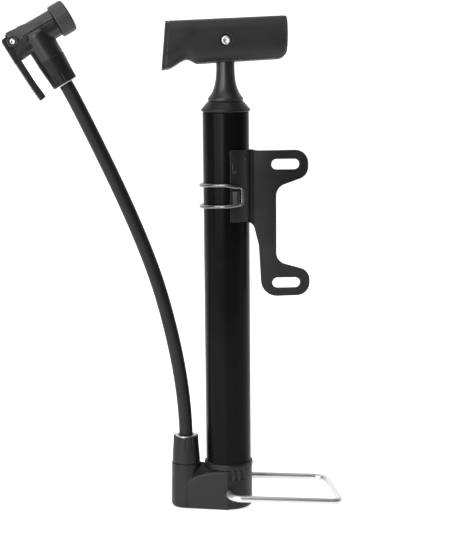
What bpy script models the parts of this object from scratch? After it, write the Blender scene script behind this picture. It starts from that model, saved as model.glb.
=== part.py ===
"""A small upright bicycle pump with a fold-out wire foot rest, a side hose and a lever chuck.

The frame: the origin is on the floor, on the barrel's axis. +Z is up the barrel, +X points the way
the foot rest folds out, and -Y is the front, where the ends of the cross pins show.
Lengths below are in millimetres and are turned into metres as the meshes are made.
"""

import math

import bmesh
import bpy
from mathutils import Matrix, Vector

MM = 0.001
GAP = 0.3                 # left between pieces that touch

# Barrel and top cap
BARREL_R = 12.4
BARREL_WALL = 1.2
BARREL_BORE_R = BARREL_R - BARREL_WALL
BARREL_FOOT_Z = 22.6
BARREL_TOP_Z = 217.6
COLLAR_R = 13.3
CAP_R = 13.0
CAP_TOP_R = 9.6
CAP_TOP_Z = 223.2

# Base
BASE_R = 12.9
BASE_TOP_Z = BARREL_FOOT_Z - GAP
SPIGOT_R = BARREL_BORE_R - GAP
SPIGOT_TOP_Z = 31.0
BOSS_X = -23.6            # axis of the hose outlet
BOSS_FOOT_R = 8.4
BOSS_TOP_R = 7.9
BOSS_TOP_Z = 24.8
THREAD_R = 5.6            # threaded stub that a hose nut screws onto
THREAD_LENGTH = 8.5
CHAMBER_R = 4.6           # check valve chamber, under the barrel
CHAMBER_FLOOR_Z = 7.0
CHAMBER_TOP_Z = 20.0

# Hose and its two equal nuts
HOSE_R = 3.75
NUT_LENGTH = 14.9
NUT_FOOT_R = 7.7
NUT_MOUTH_R = 6.85

# Foot rest
WIRE_R = 1.8
PIVOT_X = -0.4
PIVOT_Z = 9.8
REST_HALF_WIDTH = 21.5
REST_REACH = 60.0
REST_DROOP = math.radians(3.2)
PIVOT_HOLE_DEPTH = 4.3

# Plunger
ROD_R = 2.8
ROD_TOP_Z = 261.5
NECK_FOOT_Z = CAP_TOP_Z + 0.6
PIN_Z = 255.3
GRIP_HALF_DEPTH = 10.6

# Bracket for a bicycle frame's bottle bosses
BOSS_SPACING = 64.0       # the standard spacing of bottle cage screws
PLATE = 1.5               # sheet thickness
PLATE_Y = -5.3            # middle of the flat plate
SLOT_LENGTH = 15.0
SLOT_WIDTH = 5.6
SLOT_X = 31.2
UPPER_SLOT_Z = 189.9
CRADLE_R = BARREL_R + 0.5 + PLATE / 2
CLIP_WIRE_R = 1.0
CLIP_HALF_GAP = 5.65      # half the distance between the clip's two runs
CLIP_Z = 172.4
CLIP_PIVOT = (17.3, -1.4)

# Chuck. Its own frame: +X along the valve bore, -Z along the hose fitting, Y along the lever pin.
CHUCK_AT = (-99.4, 0.0, 259.1)
CHUCK_RISE = math.radians(30.0)
CHUCK_TURN = math.radians(8.0)
CHUCK_R = 7.4
CHUCK_BORE_R = 5.5
CHUCK_REAR_X = -13.5
FITTING_END = 14.3
PIN_AT = (-12.6, 2.55)    # x and z of the lever pin in the chuck's frame
PIN_R = 1.45
EAR_HALF_WIDTH = 6.2
SLOT_HALF_WIDTH = 4.6
CAM_R = 3.9
CAM_LIFT = 2.2            # how far the cam pushes the plunger in a quarter turn
LEVER_END_Z = -30.9

ROUND = 32                # sides of a large round piece
SMALL_ROUND = 16


def material(name, colour, roughness, metallic=0.0):
    found = bpy.data.materials.get(name)
    if found:
        return found
    made = bpy.data.materials.new(name)
    made.use_nodes = True
    shader = made.node_tree.nodes["Principled BSDF"]
    shader.inputs["Base Color"].default_value = (*colour, 1.0)
    shader.inputs["Roughness"].default_value = roughness
    shader.inputs["Metallic"].default_value = metallic
    return made


def black_plastic():
    return material("black_plastic", (0.028, 0.028, 0.03), 0.5)


def black_anodised():
    return material("black_anodised", (0.012, 0.012, 0.013), 0.3, 0.6)


def black_rubber():
    return material("black_rubber", (0.02, 0.02, 0.021), 0.65)


def black_paint():
    return material("black_paint", (0.03, 0.03, 0.032), 0.4, 0.2)


def bright_steel():
    return material("bright_steel", (0.8, 0.8, 0.8), 0.12, 1.0)


def dark_steel():
    return material("dark_steel", (0.2, 0.2, 0.21), 0.3, 1.0)


def satin_aluminium():
    return material("satin_aluminium", (0.65, 0.65, 0.66), 0.35, 1.0)


def brass():
    return material("brass", (0.7, 0.52, 0.22), 0.3, 1.0)


def white_plastic():
    return material("white_plastic", (0.75, 0.74, 0.7), 0.5)


def object_of(name, bm, finish, frame=None):
    """Makes a named object of bm, whose lengths are millimetres, and puts it in frame."""
    bmesh.ops.remove_doubles(bm, verts=bm.verts, dist=1e-4)
    bmesh.ops.recalc_face_normals(bm, faces=bm.faces)
    bmesh.ops.scale(bm, vec=(MM, MM, MM), verts=bm.verts)
    mesh = bpy.data.meshes.new(name)
    bm.to_mesh(mesh)
    bm.free()
    mesh.shade_smooth()
    mesh.set_sharp_from_angle(angle=math.radians(35))
    made = bpy.data.objects.new(name, mesh)
    bpy.context.collection.objects.link(made)
    if finish:
        mesh.materials.append(finish)
    if frame is not None:
        made.matrix_world = frame
    return made


def turned(name, outline, finish, frame=None, sides=ROUND):
    """Turns a closed outline of (radius, z) points about Z."""
    bm = bmesh.new()
    ring = [bm.verts.new((r, 0.0, z)) for r, z in outline]
    edges = [bm.edges.new((a, b)) for a, b in zip(ring, ring[1:] + ring[:1])]
    bmesh.ops.spin(
        bm,
        geom=edges,
        cent=(0, 0, 0),
        axis=(0, 0, 1),
        angle=2 * math.pi,
        steps=sides,
        use_merge=True,
    )
    bmesh.ops.remove_doubles(bm, verts=bm.verts, dist=1e-4)
    bmesh.ops.dissolve_degenerate(bm, dist=1e-4, edges=bm.edges)
    on_axis = [e for e in bm.edges if all(abs(v.co.x) + abs(v.co.y) < 1e-4 for v in e.verts)]
    bmesh.ops.delete(bm, geom=on_axis, context="EDGES_FACES")
    return object_of(name, bm, finish, frame)


def slab(name, outline, low, high, finish, along="Y", frame=None):
    """Extrudes a closed outline from low to high. It lies in XZ along Y, or in XY along Z."""
    bm = bmesh.new()
    if along == "Y":
        corners = [bm.verts.new((x, low, z)) for x, z in outline]
        way = Vector((0, high - low, 0))
    else:
        corners = [bm.verts.new((x, y, low)) for x, y in outline]
        way = Vector((0, 0, high - low))
    face = bm.faces.new(corners)
    grown = bmesh.ops.extrude_face_region(bm, geom=[face])
    new = [g for g in grown["geom"] if isinstance(g, bmesh.types.BMVert)]
    bmesh.ops.translate(bm, verts=new, vec=way)
    return object_of(name, bm, finish, frame)


def rod(name, radius, start, end, finish, frame=None, sides=SMALL_ROUND):
    """A plain round bar between two points."""
    start = Vector(start)
    way = Vector(end) - start
    length = way.length
    turn = way.to_track_quat("Z", "Y").to_matrix().to_4x4()
    made = turned(name, [(0, 0), (radius, 0), (radius, length), (0, length)], finish, None, sides)
    place = Matrix.Translation(start * MM) @ turn
    made.matrix_world = frame @ place if frame is not None else place
    return made


def rounded(corners, steps=5):
    """Rounds a closed outline of (x, y, radius) corners with arcs."""
    points = []
    for i, (x, y, radius) in enumerate(corners):
        here = Vector((x, y))
        back = (Vector(corners[i - 1][:2]) - here).normalized()
        on = (Vector(corners[(i + 1) % len(corners)][:2]) - here).normalized()
        if radius <= 0:
            points.append((x, y))
            continue
        half = back.angle(on) / 2
        reach = radius / math.tan(half)
        centre = here + (back + on).normalized() * radius / math.sin(half)
        first = here + back * reach - centre
        last = here + on * reach - centre
        swing = first.angle_signed(last)
        for k in range(steps + 1):
            arm = first.copy()
            arm.rotate(Matrix.Rotation(-swing * k / steps, 2))
            points.append(tuple(centre + arm))
    return points


def rounded_path(points, radius, steps=6):
    """Rounds the inner corners of an open path in space."""
    points = [Vector(p) for p in points]
    path = [points[0]]
    for before, here, after in zip(points, points[1:], points[2:]):
        back = (before - here).normalized()
        on = (after - here).normalized()
        half = back.angle(on) / 2
        reach = radius / math.tan(half)
        centre = here + (back + on).normalized() * radius / math.sin(half)
        first = here + back * reach - centre
        last = here + on * reach - centre
        for k in range(steps + 1):
            arm = first.lerp(last, k / steps)
            path.append(centre + arm.normalized() * radius)
    path.append(points[-1])
    return path


def tube(name, points, radius, finish, resolution=2):
    """A round wire, rod or hose along points."""
    curve = bpy.data.curves.new(name, "CURVE")
    curve.dimensions = "3D"
    spline = curve.splines.new("POLY")
    spline.points.add(len(points) - 1)
    for spot, point in zip(spline.points, points):
        spot.co = (*(Vector(point) * MM), 1.0)
    curve.bevel_depth = radius * MM
    curve.bevel_resolution = resolution
    curve.use_fill_caps = True
    made = bpy.data.objects.new(name, curve)
    bpy.context.collection.objects.link(made)
    curve.materials.append(finish)
    return made


def combine(target, tool, operation):
    """Cuts target with tool, or joins tool to it. The tool itself isn't a piece."""
    change = target.modifiers.new(tool.name, "BOOLEAN")
    change.object = tool
    change.operation = operation
    change.solver = "EXACT"
    tool.hide_render = True
    tool.display_type = "WIRE"


def cut(target, *tools):
    for tool in tools:
        combine(target, tool, "DIFFERENCE")


def join(target, *tools):
    for tool in tools:
        combine(target, tool, "UNION")


def smooth_line(points, count):
    """Reads count points, evenly spread by parameter, from a Catmull-Rom curve through points."""
    points = [Vector(p) for p in points]
    ends = [2 * points[0] - points[1], *points, 2 * points[-1] - points[-2]]
    read = []
    for k in range(count):
        at = k / (count - 1) * (len(points) - 1)
        i = min(int(at), len(points) - 2)
        t = at - i
        a, b, c, d = ends[i:i + 4]
        curve = 2 * b + (c - a) * t + (2 * a - 5 * b + 4 * c - d) * t * t
        read.append((curve + (3 * b - a - 3 * c + d) * t ** 3) / 2)
    return read


def chuck_frame():
    """The chuck's own frame, in metres."""
    bore = Vector((math.cos(CHUCK_RISE), 0, math.sin(CHUCK_RISE)))
    back = Vector((-math.sin(CHUCK_RISE), 0, math.cos(CHUCK_RISE)))
    turn = Matrix.Rotation(-CHUCK_TURN, 3, back)
    bore = turn.inverted() @ bore
    pin = back.cross(bore)
    axes = Matrix((bore, pin, back)).transposed().to_4x4()
    return Matrix.Translation(Vector(CHUCK_AT) * MM) @ axes


# ---------------------------------------------------------------- base and valve

def web_top(share, side):
    """Height of the fairing between the outlet and the barrel: share runs from the outlet to the
    barrel, and side from -1 to 1 across."""
    ridge = BOSS_TOP_Z - 0.6
    edge = 12.3 + 9.8 * share ** 0.42
    return ridge - (ridge - edge) * abs(side) ** 1.7


def base_web():
    """The fairing that ties the hose outlet to the barrel's foot."""
    along, across = 9, 10
    bm = bmesh.new()
    top, foot = [], []
    for i in range(along + 1):
        share = (i / along) ** 1.5
        x = BOSS_X * (1 - share)
        half = (BOSS_FOOT_R - 0.3) + (BASE_R - BOSS_FOOT_R - 0.1) * share
        sides = [2 * j / across - 1 for j in range(across + 1)]
        top.append([bm.verts.new((x, half * s, web_top(share, s))) for s in sides])
        foot.append([bm.verts.new((x, half * s, 0.0)) for s in sides])
    for grid in (top, foot):
        for a, b in zip(grid, grid[1:]):
            for j in range(across):
                bm.faces.new((a[j], a[j + 1], b[j + 1], b[j]))
    for j in (0, across):
        for i in range(along):
            bm.faces.new((top[i][j], top[i + 1][j], foot[i + 1][j], foot[i][j]))
    for i in (0, along):
        for j in range(across):
            bm.faces.new((top[i][j], top[i][j + 1], foot[i][j + 1], foot[i][j]))
    return object_of("base_web_guide", bm, black_plastic())


def outlet_frame():
    return Matrix.Translation(Vector((BOSS_X, 0, 0)) * MM)


def make_base():
    groove = SPIGOT_R - 1.3
    base = turned(
        "base_housing",
        [
            (0, 0), (BASE_R - 0.8, 0), (BASE_R, 0.8), (BASE_R, BASE_TOP_Z),
            (SPIGOT_R, BASE_TOP_Z), (SPIGOT_R, 26), (groove, 26), (groove, 28.4),
            (SPIGOT_R, 28.4), (SPIGOT_R, SPIGOT_TOP_Z), (6.1, SPIGOT_TOP_Z),
            (6.1, CHAMBER_TOP_Z), (CHAMBER_R, CHAMBER_TOP_Z),
            (CHAMBER_R, CHAMBER_FLOOR_Z), (0, CHAMBER_FLOOR_Z),
        ],
        black_plastic(),
    )
    boss = turned(
        "outlet_guide",
        [
            (0, 0), (BOSS_FOOT_R - 0.8, 0), (BOSS_FOOT_R, 0.8), (BOSS_TOP_R, BOSS_TOP_Z),
            (THREAD_R, BOSS_TOP_Z), (THREAD_R, BOSS_TOP_Z + THREAD_LENGTH),
            (0, BOSS_TOP_Z + THREAD_LENGTH),
        ],
        None,
        outlet_frame(),
    )
    web = base_web()
    cut(
        web,
        rod("chamber_guard", CHAMBER_R + 3.1, (0, 0, 2), (0, 0, 40), None),
        rod("collar_room", COLLAR_R + GAP, (0, 0, BASE_TOP_Z - 0.1), (0, 0, 40), None, sides=ROUND),
    )
    join(base, web, boss)
    cut(
        base,
        rod("outlet_bore", 2.2, (BOSS_X, 0, 9.5), (BOSS_X, 0, 40), None),
        rod("air_channel", 1.6, (BOSS_X, 0, 11.2), (-3.5, 0, 11.2), None, sides=12),
    )
    for side in (-1, 1):
        inner = side * (BASE_R - PIVOT_HOLE_DEPTH)
        hole = rod(
            f"pivot_hole_{side}", WIRE_R + 0.25,
            (PIVOT_X, inner, PIVOT_Z), (PIVOT_X, side * 16, PIVOT_Z), None,
        )
        cut(base, hole)


def ring(name, inner, outer, low, high, finish, frame=None, sides=ROUND):
    outline = [(inner, low), (outer, low), (outer, high), (inner, high)]
    return turned(name, outline, finish, frame, sides)


def o_ring(name, middle, radius, z, finish):
    """A round seal, seen as a ring of round section."""
    turns = 6
    outline = []
    for k in range(turns):
        angle = 2 * math.pi * k / turns
        outline.append((middle + radius * math.cos(angle), z + radius * math.sin(angle)))
    return turned(name, outline, finish)


def make_valve():
    turned(
        "valve_seat",
        [(2.0, 20.3), (5.8, 20.3), (5.8, 23.6), (3.2, 23.6)],
        brass(),
        sides=SMALL_ROUND,
    )
    turned(
        "check_valve_poppet",
        [(0, 9.8), (0.9, 9.8), (0.9, 17.4), (3.5, 17.4), (3.5, 19.2), (2.2, 19.9), (0, 19.9)],
        white_plastic(),
        sides=SMALL_ROUND,
    )
    turns, per_turn, coil_r, foot, head = 5, 10, 2.3, 7.7, 16.8
    points = []
    for k in range(turns * per_turn + 1):
        angle = 2 * math.pi * k / per_turn
        z = foot + (head - foot) * k / (turns * per_turn)
        points.append((coil_r * math.cos(angle), coil_r * math.sin(angle), z))
    tube("check_valve_spring", points, 0.35, bright_steel(), resolution=0)
    turned(
        "outlet_barb",
        [(0.9, 24), (1.9, 24), (1.9, 32.9), (0.9, 32.9)],
        brass(),
        outlet_frame(),
        sides=16,
    )


def make_barrel():
    ring("barrel_tube", BARREL_BORE_R, BARREL_R, BARREL_FOOT_Z, BARREL_TOP_Z, black_anodised())
    turned(
        "barrel_collar",
        [
            (BARREL_R + 0.2, 22.6), (COLLAR_R - 0.2, 22.6), (COLLAR_R, 23.0), (COLLAR_R, 25.2),
            (COLLAR_R - 0.3, 25.8), (BARREL_R + 0.2, 25.8),
        ],
        black_plastic(),
    )
    o_ring("barrel_seal", SPIGOT_R - 0.62, 0.62, 27.2, black_rubber())
    turned(
        "top_cap",
        [
            (3.4, CAP_TOP_Z), (3.4, 221.6), (5.6, 221.6), (5.6, 208.0), (BARREL_BORE_R - 0.2, 208.0),
            (BARREL_BORE_R - 0.2, BARREL_TOP_Z + GAP), (CAP_R - 0.3, BARREL_TOP_Z + GAP),
            (CAP_R, 218.3), (CAP_R, 219.3), (CAP_R - 0.5, 219.8), (CAP_TOP_R, CAP_TOP_Z),
        ],
        black_plastic(),
    )
    ring("guide_bushing", ROD_R + 0.15, 5.4, 208.4, 221.2, brass(), sides=SMALL_ROUND)


# ---------------------------------------------------------------- plunger and handle

def make_plunger():
    body_r = BARREL_BORE_R - 0.35
    groove_r = body_r - 2.5
    turned(
        "piston_head",
        [
            (2.2, 34.8), (5.0, 34.8), (5.0, 33.2), (body_r, 33.2), (body_r, 37.8), (groove_r, 37.8),
            (groove_r, 41.4), (body_r, 41.4), (body_r, 45.0), (2.2, 45.0),
        ],
        white_plastic(),
    )
    o_ring("piston_ring", BARREL_BORE_R - 1.45, 1.3, 39.6, black_rubber())
    ring("bumper_ring", ROD_R + 0.25, 6.4, 45.6, 48.6, black_rubber(), sides=SMALL_ROUND)
    turned(
        "piston_rod",
        [(0, 32.6), (1.9, 32.6), (1.9, 45.2), (ROD_R, 45.2), (ROD_R, ROD_TOP_Z), (0, ROD_TOP_Z)],
        satin_aluminium(),
        sides=SMALL_ROUND,
    )
    slab(
        "piston_nut",
        [(4.0 * math.cos(math.radians(60 * k)), 4.0 * math.sin(math.radians(60 * k))) for k in range(6)],
        32.2, 34.4, bright_steel(), along="Z",
    )
    cut(bpy.data.objects["piston_nut"], rod("nut_bore", 2.1, (0, 0, 30), (0, 0, 40), None))
    cut(bpy.data.objects["piston_rod"], rod("rod_pin_hole", 1.65, (0, -9, PIN_Z), (0, 9, PIN_Z), None))


def grip_top(x):
    return 266.0 + 0.036 * x


def grip_foot(x):
    """Underside of the grip: a hook at the left end, a finger notch, then a straight run."""
    straight = 243.4 + 0.052 * x
    if x < -30.5:
        return 239.6
    if x < -21.0:
        share = (x + 30.5) / 9.5
        return 239.6 + 5.1 * (0.5 - 0.5 * math.cos(math.pi * share))
    if x < -14.5:
        share = (x + 21.0) / 6.5
        return 244.7 - (244.7 - (243.4 - 0.052 * 14.5)) * (0.5 - 0.5 * math.cos(math.pi * share))
    return straight


def grip_section(x, shrink, count):
    """A ring of points around the grip at x. shrink draws it in, as at its rounded ends."""
    low, high = grip_foot(x) + shrink, grip_top(x) - shrink
    if x > 27.5:
        low += 2.6 * ((x - 27.5) / 5.0) ** 2
    middle, half = (low + high) / 2, (high - low) / 2
    depth = GRIP_HALF_DEPTH - shrink
    points = []
    for k in range(count):
        angle = 2 * math.pi * k / count
        c, s = math.cos(angle), math.sin(angle)
        y = math.copysign(abs(c) ** 0.85, c) * depth
        z = math.copysign(abs(s) ** 0.85, s) * half
        points.append((x, y, middle + z))
    return points


def make_handle():
    stations = [
        (-33.4, 1.2), (-33.0, 0.3), (-32.0, 0.0), (-30.5, 0.0), (-28.2, 0.0), (-25.8, 0.0),
        (-23.4, 0.0), (-21.0, 0.0), (-18.8, 0.0), (-16.8, 0.0), (-14.5, 0.0), (-8.0, 0.0),
        (0.0, 0.0), (10.0, 0.0), (20.0, 0.0), (27.5, 0.0), (30.0, 0.0), (31.6, 0.2), (32.5, 1.2),
    ]
    count = 20
    bm = bmesh.new()
    rings = []
    for x, shrink in stations:
        rings.append([bm.verts.new(p) for p in grip_section(x, shrink, count)])
    for a, b in zip(rings, rings[1:]):
        for k in range(count):
            bm.faces.new((a[k], a[(k + 1) % count], b[(k + 1) % count], b[k]))
    for end in (rings[0], rings[-1]):
        bm.faces.new(end)
    grip = object_of("handle_grip", bm, black_plastic())
    cut(
        grip,
        rod("grip_socket", 4.5, (0, 0, 235), (0, 0, 262.5), None),
        rod("grip_pin_hole", 1.75, (0, -15, PIN_Z), (0, 15, PIN_Z), None),
        rod("front_recess", 2.6, (0, -15, PIN_Z), (0, -GRIP_HALF_DEPTH + 1.1, PIN_Z), None),
        rod("back_recess", 2.6, (0, 15, PIN_Z), (0, GRIP_HALF_DEPTH - 1.1, PIN_Z), None),
    )
    bore = ROD_R + 0.2
    neck = turned(
        "handle_neck",
        [
            (bore, NECK_FOOT_Z), (9.2, NECK_FOOT_Z), (9.4, 224.2), (9.4, 225.0), (8.6, 226.0),
            (7.5, 227.2), (6.6, 228.8), (5.8, 230.8), (5.1, 233.2), (4.6, 236.0), (4.3, 239.0),
            (4.2, 243.0), (4.2, ROD_TOP_Z), (bore, ROD_TOP_Z),
        ],
        black_plastic(),
    )
    cut(neck, rod("neck_pin_hole", 1.7, (0, -9, PIN_Z), (0, 9, PIN_Z), None))
    head, head_r, shank_r = GRIP_HALF_DEPTH - 0.2, 2.2, 1.45
    turned(
        "handle_pin",
        [
            (0, -head), (head_r - 0.4, -head), (head_r, -head + 0.4), (head_r, -head + 0.8),
            (shank_r, -head + 0.8), (shank_r, head - 0.8), (head_r, head - 0.8),
            (head_r, head - 0.4), (head_r - 0.4, head), (0, head),
        ],
        bright_steel(),
        Matrix.Translation(Vector((0, 0, PIN_Z)) * MM) @ Matrix.Rotation(math.radians(90), 4, "X"),
        sides=SMALL_ROUND,
    )


# ---------------------------------------------------------------- foot rest

def make_foot_rest():
    inner = BASE_R - PIVOT_HOLE_DEPTH + GAP
    width = REST_HALF_WIDTH
    path = rounded_path(
        [(0, -inner, 0), (0, -width, 0), (REST_REACH, -width, 0), (REST_REACH, width, 0),
         (0, width, 0), (0, inner, 0)],
        7.0,
    )
    droop = Matrix.Rotation(REST_DROOP, 3, "Y")
    rest = tube("foot_rest", [droop @ p for p in path], WIRE_R, bright_steel(), resolution=2)
    rest.location = Vector((PIVOT_X, 0, PIVOT_Z)) * MM


# ---------------------------------------------------------------- bracket and its wire clip

def plan_line():
    """The sheet's middle line seen from above: a cradle around the barrel, then a bend outwards."""
    points = []
    start, leave, steps, bend_r = -84, -30, 9, 3.0
    for k in range(steps + 1):
        angle = math.radians(start + (leave - start) * k / steps)
        points.append(Vector((CRADLE_R * math.cos(angle), CRADLE_R * math.sin(angle))))
    heading = math.radians(leave + 90)
    centre = points[-1] + bend_r * Vector((math.sin(heading), -math.cos(heading)))
    for k in range(1, 5):
        angle = heading * (1 - k / 4)
        points.append(centre + bend_r * Vector((-math.sin(angle), math.cos(angle))))
    return points


def sheet_outline(line):
    """Thickens a line into a closed outline."""
    left, right = [], []
    for i, here in enumerate(line):
        before, after = line[max(i - 1, 0)], line[min(i + 1, len(line) - 1)]
        way = (after - before).normalized()
        side = Vector((-way.y, way.x)) * PLATE / 2
        left.append(tuple(here + side))
        right.append(tuple(here - side))
    return left + right[::-1]


def slot_outline(x, z):
    half = SLOT_LENGTH / 2 - SLOT_WIDTH / 2
    points = []
    for side in (1, -1):
        for k in range(9):
            angle = math.radians(-90 + 180 * k / 8) if side > 0 else math.radians(90 + 180 * k / 8)
            across = SLOT_WIDTH / 2
            points.append((x + side * half + across * math.cos(angle), z + across * math.sin(angle)))
    return points


def make_bracket():
    line = plan_line()
    plate_y = line[-1].y
    line.append(line[-1] + Vector((3.0, 0)))
    lower_slot_z = UPPER_SLOT_Z - BOSS_SPACING
    plate = rounded(
        [
            (15.0, 197.4, 0), (43.6, 197.4, 6.9), (43.6, 183.0, 6.6), (26.3, 178.0, 6.0),
            (26.3, 137.0, 6.0), (44.2, 132.6, 6.6), (44.2, 118.6, 6.9), (18.6, 118.6, 8.0),
            (17.0, 148.0, 12.0), (15.0, 154.5, 0),
        ]
    )
    bracket = slab("frame_bracket", plate, plate_y - PLATE / 2, plate_y + PLATE / 2, black_paint())
    cradle = slab("cradle_guide", sheet_outline(line), 154.5, 197.4, None, along="Z")
    relief = slab(
        "cradle_relief",
        rounded([(-4, 150, 0), (-4, 159.6, 0), (6.0, 159.6, 4.0), (16.5, 154.0, 3.0), (16.5, 150, 0)]),
        -20, -2, None,
    )
    cut(cradle, relief)
    knuckle = slab("clip_knuckle", rounded(
        [(15.0, -5.6, 0), (19.4, -5.6, 0), (19.4, 0.7, 2.0), (15.2, 0.7, 2.0)]), 169.2, 175.6,
        None, along="Z")
    catch = slab("clip_catch", rounded(
        [(2.4, -13.4, 0), (5.2, -12.6, 0), (6.0, -14.0, 0.5), (5.2, -15.8, 0.8), (2.8, -15.8, 0.8)],
        3), 168.6, 176.2, None, along="Z")
    join(bracket, cradle, knuckle, catch)
    for z in (UPPER_SLOT_Z, lower_slot_z):
        cut(bracket, slab(f"slot_cutter_{z:.0f}", slot_outline(SLOT_X, z), -12, 2, None))
    knuckle_bore = rod(
        "knuckle_bore", CLIP_WIRE_R + 0.3, (*CLIP_PIVOT, 160), (*CLIP_PIVOT, 185), None, sides=16
    )
    cut(bracket, knuckle_bore)


def clip_radius(angle):
    """The clip hugs the barrel, and lifts over the sheet at the front, where angle nears -45."""
    on_barrel = BARREL_R + CLIP_WIRE_R + 0.4
    on_sheet = CRADLE_R + PLATE / 2 + CLIP_WIRE_R + 0.4
    lift = min(max((angle - 245) / 20, 0), 1)
    return on_barrel + (on_sheet - on_barrel) * lift * lift * (3 - 2 * lift)


def clip_run(z):
    """One run of the clip, from its pivot round the back of the barrel to the front."""
    run = [Vector((*CLIP_PIVOT, z))]
    for angle in range(24, 301, 12):
        r = clip_radius(angle)
        a = math.radians(angle)
        run.append(Vector((r * math.cos(a), r * math.sin(a), z)))
    return run


def make_clip():
    """One springy wire: both ends turn into the bracket's knuckle, and its closed end hooks
    behind the bracket's catch."""
    upper = clip_run(CLIP_Z + CLIP_HALF_GAP)
    lower = clip_run(CLIP_Z - CLIP_HALF_GAP)
    ends = [Vector((*CLIP_PIVOT, CLIP_Z + 1.0)), Vector((*CLIP_PIVOT, CLIP_Z - 1.0))]
    corner = 2.5
    start = rounded_path([ends[0], upper[0], upper[1]], corner, 4)[:-1]
    finish = rounded_path([lower[1], lower[0], ends[1]], corner, 4)[1:]
    across = rounded_path([upper[-2], upper[-1], lower[-1], lower[-2]], corner, 4)[1:-1]
    path = start + upper[1:-1] + across + lower[-2:0:-1] + finish
    tube("bracket_clip", path, CLIP_WIRE_R, dark_steel(), resolution=1)


# ---------------------------------------------------------------- hose, nuts and chuck

def make_nut(name, frame):
    """A tapered nut that clamps the hose. Its frame's Z runs from the thread to the hose."""
    return turned(
        name,
        [
            (THREAD_R + 0.25, 0), (NUT_FOOT_R, 0), (NUT_MOUTH_R, NUT_LENGTH), (6.2, NUT_LENGTH),
            (6.2, 12.4), (HOSE_R + 0.4, 12.4), (HOSE_R + 0.4, 9.6), (THREAD_R + 0.25, 8.9),
        ],
        black_plastic(),
        frame,
    )


def make_ferrule(name, frame):
    return turned(
        name,
        [(HOSE_R + 0.35, 12.7), (5.9, 12.7), (5.9, 14.9), (5.3, 15.3), (HOSE_R + 0.35, 15.3)],
        satin_aluminium(),
        frame,
        sides=24,
    )


def fitting_frame(chuck):
    """A frame on the chuck's hose fitting, whose Z runs towards the hose."""
    return chuck @ Matrix.Rotation(math.pi, 4, "X")


def hose_route(chuck):
    """Points from the base's outlet to the chuck, all in the pump's middle plane."""
    fitting = fitting_frame(chuck)
    end = Vector(fitting @ Vector((0, 0, (FITTING_END + THREAD_LENGTH + GAP) * MM))) / MM
    before = Vector(fitting @ Vector((0, 0, (FITTING_END + NUT_LENGTH + 4) * MM))) / MM
    free = [
        (BOSS_X, 0, BOSS_TOP_Z + THREAD_LENGTH + GAP), (BOSS_X, 0, 44), (-24.6, 0, 60), (-27.2, 0, 80),
        (-31.6, 0, 102), (-37.6, 0, 125), (-45.6, 0, 148), (-55.4, 0, 172), (-66.2, 0, 196),
        (-76.6, 0, 218), before, end,
    ]
    return smooth_line(free, 34)


def make_hose(chuck):
    make_nut("lower_hose_nut", Matrix.Translation(Vector((BOSS_X, 0, BOSS_TOP_Z + GAP)) * MM))
    make_ferrule("lower_hose_ferrule", Matrix.Translation(Vector((BOSS_X, 0, BOSS_TOP_Z + GAP)) * MM))
    tube("hose", hose_route(chuck), HOSE_R, black_rubber(), resolution=3)
    lift = Matrix.Translation((0, 0, (FITTING_END + GAP) * MM))
    make_nut("upper_hose_nut", fitting_frame(chuck) @ lift)
    make_ferrule("upper_hose_ferrule", fitting_frame(chuck) @ lift)


def bore_frame(chuck):
    """A frame on the chuck's valve bore, whose Z runs out of the bore."""
    return chuck @ Matrix.Rotation(math.radians(90), 4, "Y")


def rear_outline():
    """Side view of the chuck's rear, which carries the lever's two ears."""
    return rounded(
        [
            (CHUCK_REAR_X, -7.6, 1.0), (-4.0, -7.2, 0), (-2.0, 7.2, 0), (-10.0, 8.3, 2.0),
            (CHUCK_REAR_X, 8.8, 2.5),
        ]
    )


def make_chuck(chuck):
    bore = bore_frame(chuck)
    shell = [(0, -6.0), (CHUCK_R, -6.0), (CHUCK_R, 12.1), (6.6, 12.1), (6.6, 16.4), (0, 16.4)]
    body = turned("chuck_body", shell, black_plastic(), bore)
    rear = slab("chuck_rear", rear_outline(), -EAR_HALF_WIDTH, EAR_HALF_WIDTH, None, frame=chuck)
    fitting = turned(
        "fitting_guide",
        [(0, 0), (7.7, 0), (7.6, FITTING_END), (THREAD_R, FITTING_END),
         (THREAD_R, FITTING_END + THREAD_LENGTH), (0, FITTING_END + THREAD_LENGTH)],
        None,
        fitting_frame(chuck),
    )
    join(body, rear, fitting)
    pin_x, pin_z = PIN_AT
    for side in (-1, 1):
        lug = rod(f"pin_lug_{side}", 2.8, (pin_x, side * 4.8, pin_z), (pin_x, side * 6.8, pin_z), None, chuck)
        if pin_x - 2.8 < CHUCK_REAR_X:
            trim = [(-20, -12), (CHUCK_REAR_X, -12), (CHUCK_REAR_X, 12), (-20, 12)]
            cut(lug, slab(f"lug_trim_{side}", trim, -12, 12, None, frame=chuck))
        join(body, lug)
    window = [(-6.3, 2.0), (12.0, 2.0), (12.0, 12.0), (-6.3, 12.0)]
    lever_slot = [(-16.0, -3.4), (-6.2, -3.4), (-6.2, 7.0), (-7.4, 12.0), (-16.0, 12.0)]
    cut(
        body,
        rod("valve_bore", CHUCK_BORE_R, (-5.8, 0, 0), (20, 0, 0), None, chuck, sides=ROUND),
        rod("stem_bore", 2.7, (-10, 0, 0), (0, 0, 0), None, chuck),
        rod("fitting_bore", 1.7, (0, 0, 0), (0, 0, -30), None, chuck, sides=12),
        slab("lever_slot", lever_slot, -SLOT_HALF_WIDTH, SLOT_HALF_WIDTH, None, frame=chuck),
        rod("pin_bore", PIN_R + 0.2, (pin_x, -12, pin_z), (pin_x, 12, pin_z), None, chuck, sides=16),
        slab("cover_window", window, -9, 9, None, frame=chuck),
    )
    make_cover(chuck, bore)
    valve_end(chuck, bore)
    make_lever(chuck)
    rod("lever_pin", PIN_R, (pin_x, -7.1, pin_z), (pin_x, 7.1, pin_z), bright_steel(), chuck, sides=16)


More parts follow.
